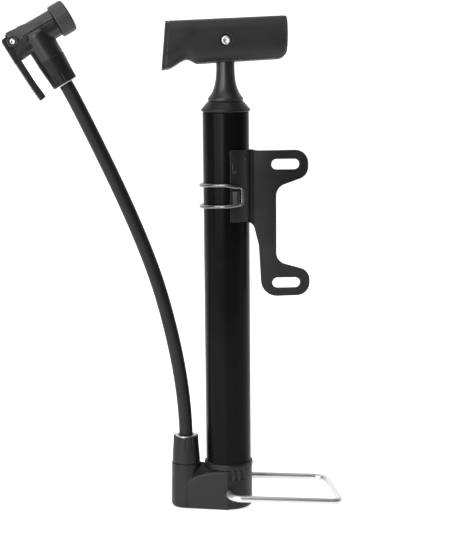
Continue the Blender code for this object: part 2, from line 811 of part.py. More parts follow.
def make_cover(chuck, bore):
    """The lid over the chuck's works, cut from the same round as its body."""
    cover = turned(
        "chuck_cover",
        [(CHUCK_BORE_R + 0.1, -6.0), (CHUCK_R, -6.0), (CHUCK_R, 11.7), (CHUCK_BORE_R + 0.1, 11.7)],
        black_plastic(),
        bore,
    )
    below = slab("cover_trim", [(-12, -12), (16, -12), (16, 2.4), (-12, 2.4)], -12, 12, None, frame=chuck)
    cut(cover, below)


def valve_end(chuck, bore):
    turned(
        "valve_cap",
        [
            (6.9, 12.5), (8.5, 12.5), (8.8, 13.0), (8.8, 19.0), (8.2, 19.8), (5.2, 19.8), (4.7, 19.2),
            (4.7, 17.2), (6.9, 16.9),
        ],
        black_plastic(),
        bore,
    )
    ring("valve_gasket", 4.1, 5.2, 9.0, 16.8, black_rubber(), bore, SMALL_ROUND)
    turned(
        "thrust_plunger",
        [(0, -8.3), (2.4, -8.3), (2.4, -1.2), (5.1, -1.2), (5.1, 1.2), (2.3, 1.2), (2.3, 6.4),
         (1.0, 6.4), (1.0, 0.0), (0, 0.0)],
        white_plastic(),
        bore,
        sides=SMALL_ROUND,
    )


def cam_outline():
    """The cam, measured from the pin: its radius grows from the front to the top, so that a quarter
    turn of the lever pushes the plunger by CAM_LIFT."""
    points = []
    for k in range(25):
        turn = 360 * k / 24
        rise = CAM_LIFT * min(turn, 90) / 90 if turn <= 90 else CAM_LIFT * max(0, 1 - (turn - 90) / 30)
        r = CAM_R + rise
        angle = math.radians(turn)
        points.append((r * math.cos(angle), r * math.sin(angle)))
    return points[:-1]


def make_lever(chuck):
    """The lever. Its own frame sits on the pin's axis, so every length here is from the pin."""
    pin_x, pin_z = PIN_AT
    pivot = chuck @ Matrix.Translation(Vector((pin_x, 0, pin_z)) * MM)
    back, front = -4.7, -1.3
    bend_z, end_z = -22 - pin_z, LEVER_END_Z - pin_z
    half = SLOT_HALF_WIDTH - GAP
    lever = slab("cam_lever", cam_outline(), -half, half, black_plastic(), frame=pivot)
    spine = [(back, 6.2 - pin_z), (front, 6.2 - pin_z), (front, -8 - pin_z), (back, -8 - pin_z)]
    neck = slab("lever_spine", spine, -half, half, None, frame=pivot)
    paddle_side = rounded(
        [(back, 1.0 - pin_z, 0), (front, 1.0 - pin_z, 0), (front, bend_z, 4), (front + 0.9, end_z, 0.8),
         (back + 0.9, end_z, 0.8), (back, bend_z, 4)], 3)
    paddle = slab("lever_paddle", paddle_side, -6.4, 6.4, None, frame=pivot)
    join(lever, neck, paddle)
    cut(lever, rod("lever_bore", PIN_R + 0.2, (0, -9, 0), (0, 9, 0), None, pivot, 16))


def main():
    for old in list(bpy.data.objects):
        bpy.data.objects.remove(old)
    chuck = chuck_frame()
    make_base()
    make_valve()
    make_barrel()
    make_plunger()
    make_handle()
    make_foot_rest()
    make_bracket()
    make_clip()
    make_hose(chuck)
    make_chuck(chuck)


main()
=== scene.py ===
"""The looks of the small upright pump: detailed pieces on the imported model's bodies, in metres."""

import math

import bmesh
import bpy
from mathutils import Matrix, Vector


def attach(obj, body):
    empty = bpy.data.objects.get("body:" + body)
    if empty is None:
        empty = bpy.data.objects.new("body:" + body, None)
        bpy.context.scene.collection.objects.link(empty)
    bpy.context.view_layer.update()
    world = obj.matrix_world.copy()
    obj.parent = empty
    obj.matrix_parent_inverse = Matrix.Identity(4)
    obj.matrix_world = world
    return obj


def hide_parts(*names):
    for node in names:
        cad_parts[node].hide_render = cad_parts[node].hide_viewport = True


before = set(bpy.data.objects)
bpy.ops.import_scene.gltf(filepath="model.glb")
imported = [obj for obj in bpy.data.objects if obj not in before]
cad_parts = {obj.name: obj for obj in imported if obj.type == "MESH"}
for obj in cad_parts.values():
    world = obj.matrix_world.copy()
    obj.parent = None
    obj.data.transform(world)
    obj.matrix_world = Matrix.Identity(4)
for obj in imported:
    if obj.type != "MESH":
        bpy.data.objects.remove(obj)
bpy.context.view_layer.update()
MM = 0.001


# ---------------------------------------------------------------- camera

def make_camera():
    """Looks at the pump from in front and a little above and to the left, from 750 mm away."""
    target = Vector((3.2, 0.0, 129.0))
    place = Vector((-36.05, -748.97, 260.0))
    roll = math.radians(0.45)
    ahead = (target - place).normalized()
    right = ahead.cross(Vector((0, 0, 1))).normalized()
    up = right.cross(ahead)
    right, up = (
        right * math.cos(roll) - up * math.sin(roll),
        up * math.cos(roll) + right * math.sin(roll),
    )
    lens = bpy.data.cameras.new("camera")
    lens.lens = 91.5
    lens.sensor_width = 36.0
    lens.clip_start = 0.01
    made = bpy.data.objects.new("camera", lens)
    bpy.context.collection.objects.link(made)
    axes = Matrix((right, up, -ahead)).transposed().to_4x4()
    made.matrix_world = Matrix.Translation(place * MM) @ axes
    bpy.context.scene.camera = made


# ---------------------------------------------------------------- materials

class Nodes:
    """A short way to lay out one material's nodes."""

    def __init__(self, name):
        self.material = bpy.data.materials.new(name)
        self.material.use_nodes = True
        self.tree = self.material.node_tree
        self.shader = self.tree.nodes["Principled BSDF"]
        self.place = self.node("ShaderNodeTexCoord").outputs["Object"]

    def node(self, kind, **values):
        made = self.tree.nodes.new(kind)
        for key, value in values.items():
            setattr(made, key, value)
        return made

    def link(self, a, b):
        self.tree.links.new(a, b)

    def stretched(self, scale):
        made = self.node("ShaderNodeMapping")
        made.inputs["Scale"].default_value = scale
        self.link(self.place, made.inputs["Vector"])
        return made.outputs["Vector"]

    def noise(self, scale, detail=2.0, rough=0.5, where=None):
        made = self.node("ShaderNodeTexNoise")
        made.inputs["Scale"].default_value = scale
        made.inputs["Detail"].default_value = detail
        made.inputs["Roughness"].default_value = rough
        self.link(where or self.place, made.inputs["Vector"])
        return made.outputs["Fac"]

    def ramp(self, fac, stops):
        made = self.node("ShaderNodeValToRGB")
        while len(made.color_ramp.elements) < len(stops):
            made.color_ramp.elements.new(0.5)
        for element, (at, colour) in zip(made.color_ramp.elements, stops):
            element.position = at
            element.color = (*colour, 1.0) if hasattr(colour, "__len__") else (colour,) * 3 + (1.0,)
        self.link(fac, made.inputs["Fac"])
        return made.outputs["Color"]

    def mix(self, fac, a, b, how="MIX"):
        made = self.node("ShaderNodeMix", data_type="RGBA", blend_type=how)
        for value, socket in ((fac, made.inputs[0]), (a, made.inputs[6]), (b, made.inputs[7])):
            if hasattr(value, "is_linked"):
                self.link(value, socket)
            elif hasattr(value, "__len__"):
                socket.default_value = (*value, 1.0)
            else:
                socket.default_value = value
        return made.outputs[2]

    def math(self, how, a, b):
        made = self.node("ShaderNodeMath", operation=how)
        for value, socket in ((a, made.inputs[0]), (b, made.inputs[1])):
            if hasattr(value, "is_linked"):
                self.link(value, socket)
            else:
                socket.default_value = value
        return made.outputs[0]

    def bump(self, height, strength, distance, before=None):
        made = self.node("ShaderNodeBump")
        made.inputs["Strength"].default_value = strength
        made.inputs["Distance"].default_value = distance
        self.link(height, made.inputs["Height"])
        if before is not None:
            self.link(before, made.inputs["Normal"])
        return made.outputs["Normal"]

    def eased(self, reach):
        """The surface's normal with its edges rounded by reach."""
        made = self.node("ShaderNodeBevel", samples=4)
        made.inputs["Radius"].default_value = reach
        return made.outputs["Normal"]

    def edges(self, low, high):
        """1 near an edge, 0 elsewhere."""
        turn = self.node("ShaderNodeVectorMath", operation="DOT_PRODUCT")
        self.link(self.eased(0.0003), turn.inputs[0])
        self.link(self.node("ShaderNodeNewGeometry").outputs["Normal"], turn.inputs[1])
        return self.ramp(turn.outputs["Value"], [(1 - high, 1.0), (1 - low, 0.0)])

    def colour(self, value):
        self.link(value, self.shader.inputs["Base Color"])

    def rough(self, value):
        self.link(value, self.shader.inputs["Roughness"])

    def normal(self, value):
        self.link(value, self.shader.inputs["Normal"])

    def set(self, **values):
        for key, value in values.items():
            self.shader.inputs[key.replace("_", " ")].default_value = value


def plastic(name, base, edge_wear_and_highlight, low, high, grain=2600.0, depth=0.35, ior=1.34):
    """Moulded plastic: a fine satin grain, uneven sheen from handling, and edges painted lighter, partly as
    wear and partly as painted highlight.
    """
    m = Nodes(name)
    cloud = m.noise(70.0, 4.0, 0.6)
    speck = m.noise(grain, 2.0, 0.6)
    tint = m.mix(m.ramp(cloud, [(0.35, 0.0), (0.7, 1.0)]), base, [min(1, c * 1.25) for c in base])
    # edges painted lighter in patches: partly edge wear, partly painted highlight standing in for the light
    # that rounded edges catch
    edge = m.math("MULTIPLY", m.edges(0.006, 0.08), m.ramp(m.noise(420.0, 3.0), [(0.35, 0.15), (0.65, 1.0)]))
    m.colour(m.mix(edge, tint, edge_wear_and_highlight))
    sheen = m.ramp(cloud, [(0.3, low), (0.72, high)])
    rubbed = m.ramp(m.noise(30.0, 5.0, 0.7, m.stretched((6, 6, 1))), [(0.46, 0.0), (0.56, 0.06), (0.66, 0.0)])
    m.rough(m.mix(1.0, sheen, rubbed, "SUBTRACT"))
    m.normal(m.bump(speck, depth, 0.00004, m.bump(m.noise(160.0, 2.0), 0.1, 0.0002, m.eased(0.0002))))
    m.set(IOR=ior)
    return m.material


def anodised(name):
    """Black anodised tube: faint drawing lines along it and a satin sheen."""
    m = Nodes(name)
    lines = m.noise(1.0, 4.0, 0.65, m.stretched((1800, 1800, 14)))
    cloud = m.noise(26.0, 4.0, 0.6)
    dark, pale = (0.0035, 0.0035, 0.0038), (0.0055, 0.0055, 0.006)
    m.colour(m.mix(m.ramp(cloud, [(0.3, 0.0), (0.75, 1.0)]), dark, pale))
    scuff = m.ramp(m.noise(1.0, 5.0, 0.75, m.stretched((260, 260, 46))), [(0.6, 0.0), (0.72, 0.1)])
    m.rough(m.mix(1.0, m.ramp(cloud, [(0.3, 0.2), (0.75, 0.29)]), scuff, "ADD"))
    m.normal(m.bump(lines, 0.05, 0.00003))
    m.set(Metallic=0.0, IOR=1.16)
    return m.material


def rubber(name, base=(0.0085, 0.0085, 0.009)):
    """Black rubber: dull, with faint extrusion lines."""
    m = Nodes(name)
    cloud = m.noise(45.0, 4.0, 0.65)
    lines = m.noise(1.0, 3.0, 0.6, m.stretched((900, 900, 90)))
    m.colour(m.mix(m.ramp(cloud, [(0.35, 0.0), (0.7, 1.0)]), base, [c * 1.6 for c in base]))
    m.rough(m.ramp(cloud, [(0.3, 0.38), (0.7, 0.55)]))
    m.normal(m.bump(lines, 0.2, 0.00006, m.bump(m.noise(3200.0), 0.2, 0.00003)))
    m.set(IOR=1.34)
    return m.material


def powder_coat(name):
    """Black powder coat on sheet steel: a fine orange peel, and edges painted lighter, partly as wear and
    partly as painted highlight.
    """
    m = Nodes(name)
    peel = m.noise(900.0, 2.0, 0.5)
    cloud = m.noise(40.0, 4.0, 0.6)
    tint = m.mix(m.ramp(cloud, [(0.3, 0.0), (0.7, 1.0)]), (0.0105, 0.0105, 0.011), (0.015, 0.015, 0.0155))
    # edges painted lighter in patches: partly edge wear, partly painted highlight standing in for the light
    # that the bevelled edges catch
    edge = m.math("MULTIPLY", m.edges(0.006, 0.08), m.ramp(m.noise(300.0, 3.0), [(0.4, 0.1), (0.6, 1.0)]))
    m.colour(m.mix(edge, tint, (0.16, 0.16, 0.163)))
    m.rough(m.ramp(cloud, [(0.3, 0.3), (0.72, 0.42)]))
    m.normal(m.bump(peel, 0.3, 0.00006, m.eased(0.0003)))
    m.set(IOR=1.46)
    return m.material


def metal(name, colour, low, high, lines=(900, 900, 900), depth=0.12, dark=0.75, metallic=1.0):
    """Bare or plated metal: fine working lines, a little dulling and uneven polish."""
    m = Nodes(name)
    cloud = m.noise(120.0, 4.0, 0.6)
    fine = m.noise(1.0, 4.0, 0.6, m.stretched(lines))
    m.colour(m.mix(m.ramp(cloud, [(0.3, 0.0), (0.65, 1.0)]), [c * dark for c in colour], colour))
    m.rough(m.mix(0.5, m.ramp(cloud, [(0.3, low), (0.7, high)]), m.ramp(fine, [(0.3, low), (0.7, high)])))
    m.normal(m.bump(fine, depth, 0.00003))
    m.set(Metallic=metallic)
    return m.material


# ---------------------------------------------------------------- mesh tools

def place_of(name, bm, sharp=40.0):
    """Makes a named object of bm, whose lengths are millimetres."""
    bmesh.ops.remove_doubles(bm, verts=bm.verts, dist=1e-4)
    bmesh.ops.recalc_face_normals(bm, faces=bm.faces)
    bmesh.ops.scale(bm, vec=(MM, MM, MM), verts=bm.verts)
    mesh = bpy.data.meshes.new(name)
    bm.to_mesh(mesh)
    bm.free()
    made = bpy.data.objects.new(name, mesh)
    bpy.context.collection.objects.link(made)
    smooth(made, sharp)
    return made


def smooth(obj, sharp=40.0):
    obj.data.shade_smooth()
    obj.data.set_sharp_from_angle(angle=math.radians(sharp))


def softened(profile, reach=0.25, steps=3):
    """Rounds each corner of a closed outline by up to reach."""
    points = []
    for i, here in enumerate(profile):
        here = Vector(here)
        before, after = Vector(profile[i - 1]), Vector(profile[(i + 1) % len(profile)])
        back, on = before - here, after - here
        if here.x < 1e-6 or min(back.length, on.length) < 1e-6 or back.angle(on) > 3.0:
            points.append(tuple(here))
            continue
        r = min(reach, back.length * 0.4, on.length * 0.4)
        a, b = here + back.normalized() * r, here + on.normalized() * r
        for k in range(steps + 1):
            t = k / steps
            points.append(tuple(a * (1 - t) ** 2 + here * 2 * t * (1 - t) + b * t * t))
    return points


def lathe(name, profile, place=None, sides=96, reach=0.25, wave=None):
    """Turns a closed (radius, z) outline about Z, with softened corners. wave(angle, r, z) may
    change a point's radius, for splines and flutes."""
    outline = softened(profile, reach)
    bm = bmesh.new()
    rings = []
    for k in range(sides):
        angle = 2 * math.pi * k / sides
        ring = []
        for r, z in outline:
            r = wave(angle, r, z) if wave and r > 1e-6 else r
            ring.append(bm.verts.new((r * math.cos(angle), r * math.sin(angle), z)))
        rings.append(ring)
    count = len(outline)
    for k in range(sides):
        a, b = rings[k], rings[(k + 1) % sides]
        for i in range(count):
            j = (i + 1) % count
            if outline[i][0] < 1e-6 and outline[j][0] < 1e-6:
                continue
            bm.faces.new((a[i], a[j], b[j], b[i]))
    bmesh.ops.remove_doubles(bm, verts=bm.verts, dist=1e-4)
    bmesh.ops.dissolve_degenerate(bm, dist=1e-5, edges=bm.edges)
    made = place_of(name, bm)
    if place is not None:
        made.matrix_world = place
    return made


def slab(name, outline, low, high, along="Y", place=None):
    bm = bmesh.new()
    if along == "Y":
        corners = [bm.verts.new((x, low, z)) for x, z in outline]
        way = Vector((0, high - low, 0))
    else:
        corners = [bm.verts.new((x, y, low)) for x, y in outline]
        way = Vector((0, 0, high - low))
    face = bm.faces.new(corners)
    grown = bmesh.ops.extrude_face_region(bm, geom=[face])
    bmesh.ops.translate(bm, verts=[g for g in grown["geom"] if isinstance(g, bmesh.types.BMVert)], vec=way)
    made = place_of(name, bm)
    if place is not None:
        made.matrix_world = place
    return made


def bar(name, radius, start, end, place=None, sides=48):
    start, end = Vector(start), Vector(end)
    length = (end - start).length
    turn = (end - start).to_track_quat("Z", "Y").to_matrix().to_4x4()
    made = lathe(name, [(0, 0), (radius, 0), (radius, length), (0, length)], None, sides, 0.0)
    spot = Matrix.Translation(start * MM) @ turn
    made.matrix_world = place @ spot if place is not None else spot
    return made


def rounded(corners, steps=8):
    """Rounds a closed outline of (x, y, radius) corners with arcs."""
    points = []
    for i, (x, y, radius) in enumerate(corners):
        here = Vector((x, y))
        back = (Vector(corners[i - 1][:2]) - here).normalized()
        on = (Vector(corners[(i + 1) % len(corners)][:2]) - here).normalized()
        if radius <= 0:
            points.append((x, y))
            continue
        half = back.angle(on) / 2
        reach = radius / math.tan(half)
        centre = here + (back + on).normalized() * radius / math.sin(half)
        first = here + back * reach - centre
        last = here + on * reach - centre
        swing = first.angle_signed(last)
        for k in range(steps + 1):
            arm = first.copy()
            arm.rotate(Matrix.Rotation(-swing * k / steps, 2))
            points.append(tuple(centre + arm))
    return points


def rounded_path(points, radii, steps=10):
    """Rounds the inner corners of an open path in space."""
    points = [Vector(p) for p in points]
    path = [points[0]]
    for radius, before, here, after in zip(radii, points, points[1:], points[2:]):
        back, on = (before - here).normalized(), (after - here).normalized()
        half = back.angle(on) / 2
        reach = radius / math.tan(half)
        centre = here + (back + on).normalized() * radius / math.sin(half)
        first, last = here + back * reach - centre, here + on * reach - centre
        for k in range(steps + 1):
            path.append(centre + first.lerp(last, k / steps).normalized() * radius)
    path.append(points[-1])
    return path


def tube(name, points, radius, resolution=8):
    curve = bpy.data.curves.new(name, "CURVE")
    curve.dimensions = "3D"
    spline = curve.splines.new("POLY")
    spline.points.add(len(points) - 1)
    for spot, point in zip(spline.points, points):
        spot.co = (*(Vector(point) * MM), 1.0)
    spline.use_smooth = True
    curve.bevel_depth = radius * MM
    curve.bevel_resolution = resolution
    curve.use_fill_caps = True
    made = bpy.data.objects.new(name, curve)
    bpy.context.collection.objects.link(made)
    return made


def smooth_line(points, count):
    """Reads count points from a Catmull-Rom curve through points."""
    points = [Vector(p) for p in points]
    ends = [2 * points[0] - points[1], *points, 2 * points[-1] - points[-2]]
    read = []
    for k in range(count):
        at = k / (count - 1) * (len(points) - 1)
        i = min(int(at), len(points) - 2)
        t = at - i
        a, b, c, d = ends[i:i + 4]
        curve = 2 * b + (c - a) * t + (2 * a - 5 * b + 4 * c - d) * t * t
        read.append((curve + (3 * b - a - 3 * c + d) * t ** 3) / 2)
    return read


def baked(obj):
    """Applies obj's modifiers and its place, so that its mesh is in the row frame."""
    bpy.context.view_layer.update()
    graph = bpy.context.evaluated_depsgraph_get()
    mesh = bpy.data.meshes.new_from_object(obj.evaluated_get(graph))
    mesh.transform(obj.matrix_world)
    obj.modifiers.clear()
    obj.data = mesh
    obj.matrix_world = Matrix.Identity(4)
    return obj


def shaped(target, operation, *tools):
    """Booleans target with tools, which are used up."""
    for tool in tools:
        change = target.modifiers.new(tool.name, "BOOLEAN")
        change.object = tool
        change.operation = operation
        change.solver = "EXACT"
    baked(target)
    for tool in tools:
        bpy.data.objects.remove(tool)
    return target


def moulded(obj, voxel=0.35, rounds=5, factor=0.5):
    """Gives a sharp solid the soft edges and fillets of a moulding."""
    skin = obj.modifiers.new("skin", "REMESH")
    skin.mode = "VOXEL"
    skin.voxel_size = voxel * MM
    ease = obj.modifiers.new("ease", "SMOOTH")
    ease.factor = factor
    ease.iterations = rounds
    return baked(obj)


def bevelled(obj, width, segments=3, angle=35.0, sharp=50.0):
    change = obj.modifiers.new("bevel", "BEVEL")
    change.width = width * MM
    change.segments = segments
    change.limit_method = "ANGLE"
    change.angle_limit = math.radians(angle)
    change.harden_normals = False
    change.miter_outer = "MITER_ARC"
    baked(obj)
    smooth(obj, sharp)
    even = obj.modifiers.new("even", "WEIGHTED_NORMAL")
    even.weight = 90
    even.keep_sharp = True
    return baked(obj)


def finished(obj, body, material, slot, *nodes):
    """Gives obj its material and its body, and hides the CAD nodes that it stands for."""
    obj.data.materials.clear()
    obj.data.materials.append(material)
    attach(obj, body)
    if nodes:
        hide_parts(*nodes)
    return obj


# ---------------------------------------------------------------- the pump's frames

CHUCK_RISE, CHUCK_TURN = math.radians(30.0), math.radians(8.0)
CHUCK_AT = Vector((-99.4, 0.0, 259.1))
FITTING_END, THREAD_LENGTH, NUT_LENGTH = 14.3, 8.5, 14.9
BOSS_X, BOSS_TOP_Z = -23.6, 24.8
PIN = (-12.6, 2.55)          # the lever pin's x and z in the chuck's frame
HANDLE_PIN_Z = 255.3
FOOT_PIVOT = (-0.4, 9.8)     # x and z of the foot rest's axis
ACROSS = Matrix.Rotation(math.radians(90), 4, "X")


def chuck_frame():
    bore = Vector((math.cos(CHUCK_RISE), 0, math.sin(CHUCK_RISE)))
    back = Vector((-math.sin(CHUCK_RISE), 0, math.cos(CHUCK_RISE)))
    bore = Matrix.Rotation(CHUCK_TURN, 3, back) @ bore
    axes = Matrix((bore, back.cross(bore), back)).transposed().to_4x4()
    return Matrix.Translation(CHUCK_AT * MM) @ axes


CHUCK = chuck_frame()
BORE = CHUCK @ Matrix.Rotation(math.radians(90), 4, "Y")
FITTING = CHUCK @ Matrix.Rotation(math.pi, 4, "X")


def hose_route():
    end = Vector(FITTING @ Vector((0, 0, (FITTING_END + THREAD_LENGTH + 0.3) * MM))) / MM
    before = Vector(FITTING @ Vector((0, 0, (FITTING_END + NUT_LENGTH + 4) * MM))) / MM
    free = [
        (BOSS_X, 0, BOSS_TOP_Z + THREAD_LENGTH + 0.3), (BOSS_X, 0, 44), (-24.6, 0, 60), (-27.2, 0, 80),
        (-31.6, 0, 102), (-37.6, 0, 125), (-45.6, 0, 148), (-55.4, 0, 172), (-66.2, 0, 196),
        (-76.6, 0, 218), before, end,
    ]
    return smooth_line(free, 34)


# ---------------------------------------------------------------- hose and its ends

def splines(angle, r, z):
    """Short grooves in the nut near its mouth."""
    if r < 6.3 or z < 8.2:
        return r
    depth = 0.42 * min(1.0, (z - 8.2) / 2.0)
    return r - depth * max(0.0, math.cos(angle * 12)) ** 4


def make_hose_ends(plastic_black, aluminium):
    places = (
        ("lower", Matrix.Translation(Vector((BOSS_X, 0, BOSS_TOP_Z + 0.3)) * MM)),
        ("upper", FITTING @ Matrix.Translation((0, 0, (FITTING_END + 0.3) * MM))),
    )
    made = {}
    for end, place in places:
        nut = lathe(
            f"{end}_nut_shell",
            [
                (5.85, 0), (7.55, 0), (7.7, 0.2), (7.66, 1.4), (7.55, 3.4), (7.4, 5.6), (7.25, 7.8),
                (7.18, 8.4), (7.1, 9.4), (7.0, 11.4), (6.92, 13.4), (6.86, 14.7), (6.6, 14.9),
                (6.3, 14.9), (6.2, 14.4), (6.2, 12.4), (4.15, 12.4), (4.15, 9.6), (5.85, 8.9),
            ],
            place, 192, 0.12, splines,
        )
        ferrule = lathe(
            f"{end}_ferrule_ring",
            [(4.1, 12.7), (5.95, 12.7), (5.95, 14.8), (5.6, 15.35), (4.7, 15.35), (4.1, 14.4)],
            place, 96, 0.2,
        )
        finished(nut, "pump_body", plastic_black, "black_plastic", f"{end}_hose_nut")
        finished(ferrule, "pump_body", aluminium, "satin_aluminium", f"{end}_hose_ferrule")
        made[end] = (nut, ferrule)
    return made


# ---------------------------------------------------------------- base

def web_top(share, side):
    """Height of the fairing: share runs from the outlet to the barrel, side from -1 to 1 across.
    Its edge is rolled up a little, most of all halfway along."""
    ridge = 24.3
    edge = 12.2 + 10.0 * share ** 0.42
    roll = 1.0 * ease((abs(side) - 0.8) / 0.1) * ease((1.0 - abs(side)) / 0.03)
    swell = math.sin(math.pi * min(1.0, share * 1.2)) ** 0.5
    return ridge - (ridge - edge) * abs(side) ** 1.12 + roll * swell


def base_web():
    """The fairing that ties the hose outlet to the barrel's foot."""
    along, across = 36, 60
    bm = bmesh.new()
    grids = []
    for i in range(along + 1):
        share = (i / along) ** 1.5
        x = BOSS_X + (BOSS_X * -1 - 0.9) * share
        half = 8.25 + (13.45 - 8.25) * share
        rows = []
        for j in range(across + 1):
            side = 2 * j / across - 1
            rows.append((x, half * side, web_top(share, side), half, side))
        grids.append(rows)
    top = [[bm.verts.new((x, y, z)) for x, y, z, h, s in rows] for rows in grids]
    foot = [[bm.verts.new((x, (h - 0.9) * s, 0.0)) for x, y, z, h, s in rows] for rows in grids]
    lip = [[bm.verts.new((x, y, 1.3)) for x, y, z, h, s in (rows[0], rows[-1])] for rows in grids]
    for grid in (top, foot):
        for a, b in zip(grid, grid[1:]):
            for j in range(across):
                bm.faces.new((a[j], a[j + 1], b[j + 1], b[j]))
    for side, j in ((0, 0), (1, across)):
        for i in range(along):
            bm.faces.new((top[i][j], top[i + 1][j], lip[i + 1][side], lip[i][side]))
            bm.faces.new((lip[i][side], lip[i + 1][side], foot[i + 1][j], foot[i][j]))
    for i in (0, along):
        bm.faces.new([*top[i], lip[i][1], *foot[i][::-1], lip[i][0]])
    return place_of("base_web_tool", bm)


def make_base(material):
    base = lathe(
        "base_shell",
        [
            (0, 0), (11.6, 0), (12.5, 0.45), (12.95, 1.5), (13.0, 8), (12.95, 22.3), (10.9, 22.3),
            (10.9, 26.0), (0, 26.0),
        ],
        None, 128, 0.0,
    )
    boss = lathe(
        "boss_tool",
        [
            (0, 0), (7.1, 0), (8.0, 0.45), (8.45, 1.6), (8.3, 10), (7.95, 24.8), (5.6, 24.8),
            (5.6, 30), (0, 30),
        ],
        Matrix.Translation(Vector((BOSS_X, 0, 0)) * MM), 128, 0.0,
    )
    web = base_web()
    shaped(web, "DIFFERENCE", bar("collar_room", 13.6, (0, 0, 22.2), (0, 0, 40)))
    shaped(base, "UNION", boss, web)
    moulded(base, 0.28, 3, 0.5)
    pivot_x, pivot_z = FOOT_PIVOT
    tools = [
        bar("hole_front", 2.15, (pivot_x, -9.0, pivot_z), (pivot_x, -16, pivot_z)),
        bar("hole_back", 2.15, (pivot_x, 9.0, pivot_z), (pivot_x, 16, pivot_z)),
        bar("socket_room", 12.6, (0, 0, 22.35), (0, 0, 40), None, 96),
        slab("boss_face", [(-34, 24.75), (-12.9, 24.75), (-12.9, 34), (-34, 34)], -12, 12),
    ]
    for side in (-1, 1):
        for k in range(3):
            angle = math.radians(side * (86 - 15 * k))
            spot = Vector((13.3 * math.cos(angle), 13.3 * math.sin(angle), 0))
            low, high = spot + Vector((0, 0, 16.6)), spot + Vector((0, 0, 23))
            tools.append(bar(f"flute_{side}_{k}", 1.15, low, high, None, 24))
    shaped(base, "DIFFERENCE", *tools)
    shaped(base, "UNION", bar("stub", 5.6, (BOSS_X, 0, 23), (BOSS_X, 0, 33.2)))
    smooth(base, 32.0)
    return finished(base, "pump_body", material, "black_plastic", "base_housing")


# ---------------------------------------------------------------- barrel

def make_barrel(tube_black, plastic_black):
    barrel = lathe(
        "barrel_skin",
        [(11.25, 22.7), (12.2, 22.7), (12.4, 22.9), (12.4, 217.3), (12.2, 217.6), (11.25, 217.6)],
        None, 160, 0.08,
    )
    finished(barrel, "pump_body", tube_black, "black_anodised", "barrel_tube")
    collar = lathe(
        "collar_ring",
        [(12.6, 22.55), (13.15, 22.55), (13.35, 22.85), (13.35, 24.9), (13.15, 25.5), (12.6, 25.9)],
        None, 160, 0.2,
    )
    finished(collar, "pump_body", plastic_black, "black_plastic", "barrel_collar")
    cap = lathe(
        "cap_shell",
        [
            (3.4, 223.2), (3.4, 221.6), (5.6, 221.6), (5.6, 208.0), (11.0, 208.0), (11.0, 217.9),
            (12.7, 217.9), (13.05, 218.25), (13.1, 218.8), (13.0, 219.35), (12.55, 219.75),
            (12.3, 219.95), (11.2, 221.3), (10.2, 222.4), (9.75, 222.95), (9.4, 223.2),
        ],
        None, 160, 0.15,
    )
    finished(cap, "pump_body", plastic_black, "black_plastic", "top_cap")


# ---------------------------------------------------------------- handle

def grip_top(x):
    return 266.75 + 0.038 * x


def ease(share):
    share = min(max(share, 0.0), 1.0)
    return share * share * (3 - 2 * share)


def grip_foot(x):
    straight = 243.5 + 0.052 * x
    hook = 239.6 + 5.35 * ease((x + 30.6) / 10.4)
    lip = 244.95 - (244.95 - straight) * ease((x + 20.2) / 5.6)
    foot = hook if x < -20.2 else (lip if x < -14.6 else straight)
    return foot + 3.4 * max(0.0, (x - 27.3) / 5.2) ** 2.4


def grip_section(count):
    """The grip's section, from -1 to 1 both ways: an oval with a narrow bead low on each side."""
    points = []
    for k in range(count):
        angle = 2 * math.pi * (k + 0.5) / count
        c, s = math.cos(angle), math.sin(angle)
        y = math.copysign(abs(c) ** 0.84, c)
        z = math.copysign(abs(s) ** 0.84, s)
        if -0.97 < z < -0.9:
            y *= 1.1
        points.append((y, z))
    return points


def grip_ring(x, shrink, section):
    """The section at x, drawn in by shrink. The left end leans, more so towards its foot."""
    low, high = grip_foot(x) + shrink, grip_top(x) - shrink
    middle, half = (low + high) / 2, (high - low) / 2
    lean_left = max(0.0, -x - 20) / 13
    ring = []
    for y, z in section:
        up = middle + z * half
        lean = -0.12 * (266 - up) * lean_left ** 2
        ring.append((x + lean, y * (10.7 - shrink), up))
    return ring


def make_grip(material):
    section = grip_section(200)
    count = len(section)
    stations = [
        (-31.0, 2.4), (-31.35, 1.0), (-31.4, 0.45), (-31.3, 0.12), (-30.9, 0.0), (-30.2, 0.0),
        (-30.05, 0.28), (-29.75, 0.28),
    ]
    stations += [(-29.6 + 0.5 * k, 0.0) for k in range(32)]
    stations += [(-13.5 + 2.5 * k, 0.0) for k in range(16)]
    stations += [(25.0 + 0.6 * k, 0.0) for k in range(10)]
    stations += [
        (30.95, 0.0), (31.1, 0.3), (31.4, 0.3), (31.55, 0.0), (32.0, 0.1), (32.3, 0.4), (32.4, 0.9),
        (32.2, 2.4),
    ]
    bm = bmesh.new()
    rings = [[bm.verts.new(p) for p in grip_ring(x, s, section)] for x, s in stations]
    for a, b in zip(rings, rings[1:]):
        for k in range(count):
            bm.faces.new((a[k], a[(k + 1) % count], b[(k + 1) % count], b[k]))
    for ring in (rings[0], rings[-1]):
        bm.faces.new(ring)
    grip = place_of("grip_shell", bm)
    shaped(
        grip, "DIFFERENCE",
        bar("front_recess", 3.35, (0, -15, HANDLE_PIN_Z), (0, -9.3, HANDLE_PIN_Z)),
        bar("back_recess", 3.35, (0, 15, HANDLE_PIN_Z), (0, 9.3, HANDLE_PIN_Z)),
        bar("cross_hole", 1.8, (0, -15, HANDLE_PIN_Z), (0, 15, HANDLE_PIN_Z)),
        bar("neck_room", 5.0, (0, 0, 235), (0, 0, 262.5)),
    )
    smooth(grip, 24.0)
    return finished(grip, "handle", material, "black_plastic", "handle_grip")


